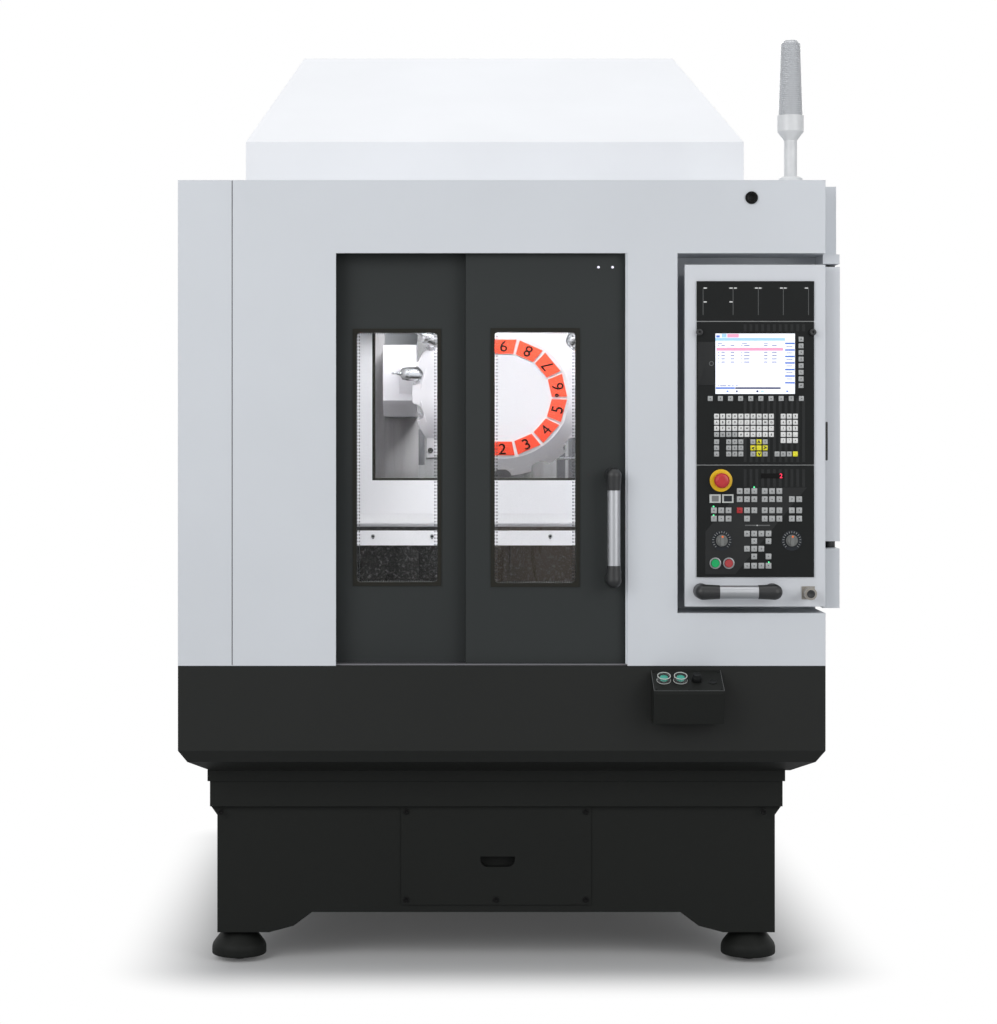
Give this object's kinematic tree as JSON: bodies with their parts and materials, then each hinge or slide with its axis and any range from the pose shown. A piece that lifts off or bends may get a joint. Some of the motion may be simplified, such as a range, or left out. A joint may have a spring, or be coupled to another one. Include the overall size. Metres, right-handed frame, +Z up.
{
  "type": "cnc drilling and tapping centre",
  "caption": "Compact enclosed drilling and tapping machine with sliding doors, a tilted turret tool magazine, a swing-out operator panel and a sloped top hood.",
  "frame": {"origin": "on the floor, at the middle of the machine's footprint", "axes": "+Z up, +X to the operator's right, -Y towards the operator"},
  "size_m": [1.74, 2.4, 2.607],
  "materials": {
    "black_paint": "fine textured powder coat, matt",
    "black_steel": "black oxide and paint, satin",
    "cast_iron": "machined and painted casting",
    "grey_paint": "light grey powder coat, satin",
    "white_paint": "near-white powder coat, satin",
    "white_plastic": "moulded, satin",
    "clear_plastic": "clear ribbed lens",
    "bare_steel": "ground",
    "liner_paint": "grey paint, wet sheen",
    "charcoal_paint": "charcoal powder coat, fine texture",
    "gasket_rubber": "black extruded rubber",
    "safety_glass": "laminated pane with a dotted edge print",
    "black_plastic": "moulded, satin",
    "grip_aluminium": "satin anodised",
    "screen": "lit flat display",
    "key_plastic": "moulded key caps",
    "nickel": "nickel plated",
    "red_plastic": "moulded",
    "green_plastic": "moulded, lit from behind",
    "lamp_plastic": "moulded, translucent",
    "dial_plastic": "moulded",
    "motor_paint": "satin",
    "orange_tile": "printed tiles"
  },
  "bodies": {
    "machine": {"base_frame": "black_paint", "levelling_feet": "black_steel", "base_access_panel": "black_paint", "splash_tray": "black_paint", "bed": "cast_iron", "column": "cast_iron", "corner_panel": "grey_paint", "front_fascia": "grey_paint", "left_side_panel": "grey_paint", "right_side_panel": "grey_paint", "roof_panel": "grey_paint", "top_hood": "white_paint", "signal_tower_stem": "white_plastic", "signal_tower_lens": "clear_plastic", "door_rails": "bare_steel", "chamber_liner": "liner_paint", "inner_guard": "white_paint", "work_light": "white_plastic", "electrical_cabinet": "grey_paint", "control_box": "black_steel", "panel_hinges": "white_paint", "magazine_arm": "white_paint"},
    "door_left": {"door_left_panel": "charcoal_paint", "door_left_gasket": "gasket_rubber", "door_left_window": "safety_glass"},
    "door_right": {"door_right_panel": "charcoal_paint", "door_right_gasket": "gasket_rubber", "door_right_window": "safety_glass", "door_handle_ends": "black_plastic", "door_handle_grip": "grip_aluminium"},
    "operator_panel": {"panel_shell": "white_paint", "blank_unit": "black_plastic", "display_unit": "black_plastic", "display_screen": "screen", "control_unit": "black_plastic", "panel_keys": "key_plastic", "panel_handle_ends": "black_plastic", "panel_handle_grip": "grip_aluminium", "data_socket": "nickel"},
    "emergency_stop": {"emergency_stop": "red_plastic"},
    "start_button": {"start_button": "green_plastic"},
    "stop_button": {"stop_button": "red_plastic"},
    "lamp_button_left": {"lamp_button_left": "lamp_plastic"},
    "lamp_button_right": {"lamp_button_right": "lamp_plastic"},
    "feed_dial": {"feed_dial": "dial_plastic"},
    "speed_dial": {"speed_dial": "dial_plastic"},
    "box_button_left": {"box_button_left": "green_plastic"},
    "box_button_right": {"box_button_right": "green_plastic"},
    "box_selector": {"box_selector": "black_plastic"},
    "spindle_head": {"spindle_head": "cast_iron", "spindle_motor": "motor_paint"},
    "spindle": {"spindle_shaft": "bare_steel"},
    "turret": {"turret_disc": "white_paint", "number_tiles": "orange_tile", "tool_holders": "bare_steel"},
    "saddle": {"saddle": "cast_iron"},
    "work_table": {"work_table": "bare_steel"},
    "cabinet_door": {"cabinet_door": "grey_paint"},
    "main_switch": {"main_switch": "red_plastic"}
  },
  "joints": [
    {"name": "door_right_slide", "type": "slide", "parent": "machine", "child": "door_right", "axis": [-1, 0, 0], "range_m": [0, 0.68]},
    {"name": "door_left_slide", "type": "slide", "parent": "machine", "child": "door_left", "axis": [-1, 0, 0], "range_m": [0, 0.34]},
    {"name": "panel_swing", "type": "hinge", "parent": "machine", "child": "operator_panel", "pos_m": [0.84, -1.003, 1.4], "axis": [0, 0, 1], "range_deg": [0, 90]},
    {"name": "emergency_stop_press", "type": "slide", "parent": "operator_panel", "child": "emergency_stop", "axis": [0, 1, 0], "range_m": [0, 0.005]},
    {"name": "start_press", "type": "slide", "parent": "operator_panel", "child": "start_button", "axis": [0, 1, 0], "range_m": [0, 0.003], "stiffness_N_per_m": 400},
    {"name": "stop_press", "type": "slide", "parent": "operator_panel", "child": "stop_button", "axis": [0, 1, 0], "range_m": [0, 0.003], "stiffness_N_per_m": 400},
    {"name": "lamp_left_press", "type": "slide", "parent": "operator_panel", "child": "lamp_button_left", "axis": [0, 1, 0], "range_m": [0, 0.003], "stiffness_N_per_m": 400},
    {"name": "lamp_right_press", "type": "slide", "parent": "operator_panel", "child": "lamp_button_right", "axis": [0, 1, 0], "range_m": [0, 0.003], "stiffness_N_per_m": 400},
    {"name": "feed_turn", "type": "hinge", "parent": "operator_panel", "child": "feed_dial", "pos_m": [0.5435, -1.113, 1.135], "axis": [0, -1, 0], "range_deg": [-150, 150]},
    {"name": "speed_turn", "type": "hinge", "parent": "operator_panel", "child": "speed_dial", "pos_m": [0.7255, -1.113, 1.135], "axis": [0, -1, 0], "range_deg": [-150, 150]},
    {"name": "box_left_press", "type": "slide", "parent": "machine", "child": "box_button_left", "axis": [0, 0.4513, -0.8924], "range_m": [0, 0.003], "stiffness_N_per_m": 400},
    {"name": "box_right_press", "type": "slide", "parent": "machine", "child": "box_button_right", "axis": [0, 0.4513, -0.8924], "range_m": [0, 0.003], "stiffness_N_per_m": 400},
    {"name": "box_selector_turn", "type": "hinge", "parent": "machine", "child": "box_selector", "pos_m": [0.474, -1.1565, 0.775], "axis": [0, -0.4513, 0.8924], "range_deg": [-45, 45]},
    {"name": "head_feed", "type": "slide", "parent": "machine", "child": "spindle_head", "axis": [0, 0, -1], "range_m": [0, 0.33]},
    {"name": "spindle_spin", "type": "hinge", "parent": "spindle_head", "child": "spindle", "pos_m": [-0.005, -0.203, 1.33], "axis": [0, 0, 1], "continuous": true},
    {"name": "turret_index", "type": "hinge", "parent": "machine", "child": "turret", "pos_m": [-0.005, -0.463, 1.515], "axis": [0, -0.915, -0.4035], "continuous": true},
    {"name": "saddle_feed", "type": "slide", "parent": "machine", "child": "saddle", "axis": [0, 1, 0], "range_m": [-0.15, 0.15]},
    {"name": "table_feed", "type": "slide", "parent": "saddle", "child": "work_table", "axis": [1, 0, 0], "range_m": [-0.25, 0.25]},
    {"name": "cabinet_door_swing", "type": "hinge", "parent": "machine", "child": "cabinet_door", "pos_m": [0.5945, 1.19, 1.3], "axis": [0, 0, -1], "range_deg": [0, 110]},
    {"name": "main_switch_turn", "type": "hinge", "parent": "machine", "child": "main_switch", "pos_m": [0.584, 0.937, 1.5], "axis": [1, 0, 0], "range_deg": [0, 90]}
  ],
  "couplings": [
    {"joint": "door_left_slide", "follows": "door_right_slide", "ratio": 0.5}
  ]
}
